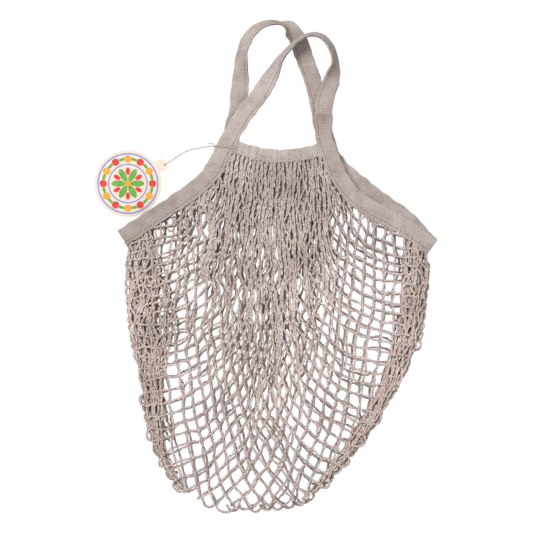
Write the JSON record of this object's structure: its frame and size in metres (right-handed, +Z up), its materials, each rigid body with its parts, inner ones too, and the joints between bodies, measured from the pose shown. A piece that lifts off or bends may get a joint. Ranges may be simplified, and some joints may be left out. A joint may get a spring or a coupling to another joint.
{
  "type": "mesh produce bag",
  "caption": "Knitted cotton net bag lying flat, with a folded-tape mouth, two tape handles and a round swing tag on thin twine.",
  "frame": {"origin": "middle of the bag's footprint, on the surface that it lies on, without the tag and its string", "axes": "+X to the right across the bag, +Y from the bottom towards the handles, +Z up from the back layer to the front layer"},
  "size_m": [0.3453, 0.4952, 0.0214],
  "materials": {
    "cotton_tape": "plain-woven cotton tape, folded and sewn",
    "cotton_net": "knitted net of doubled twisted cotton thread",
    "twine": "thin twisted cotton twine",
    "tag_card": "printed cream card"
  },
  "bodies": {
    "bag": {"front_net": "cotton_net", "back_net": "cotton_net", "left_side_gather": "cotton_net", "right_side_gather": "cotton_net", "bottom_loops": "cotton_net", "front_band": "cotton_tape", "back_band": "cotton_tape", "front_left_binding": "cotton_tape", "front_right_binding": "cotton_tape", "back_left_binding": "cotton_tape", "back_right_binding": "cotton_tape", "left_corner_tack": "cotton_tape", "right_corner_tack": "cotton_tape", "string_loop": "twine"},
    "front_loop": {"front_handle": "cotton_tape", "front_handle_lap": "cotton_tape"},
    "back_loop": {"back_handle": "cotton_tape"},
    "string": {"tag_string": "twine"},
    "tag": {"swing_tag": "tag_card"}
  },
  "joints": [
    {"name": "front_handle_fold", "type": "hinge", "parent": "bag", "child": "front_loop", "pos_m": [0, 0.128, 0.014], "axis": [1, 0, 0], "range_deg": [0, 150]},
    {"name": "back_handle_fold", "type": "hinge", "parent": "bag", "child": "back_loop", "pos_m": [0, 0.128, 0], "axis": [1, 0, 0], "range_deg": [-150, 0]},
    {"name": "string_swing", "type": "hinge", "parent": "bag", "child": "string", "pos_m": [-0.0631, 0.12, 0.0125], "axis": [0, 0, 1], "range_deg": [-75, 0]},
    {"name": "tag_swing", "type": "hinge", "parent": "string", "child": "tag", "pos_m": [-0.1164, 0.1012, 0.0003], "axis": [0, 0, 1], "range_deg": [-60, 0]}
  ]
}
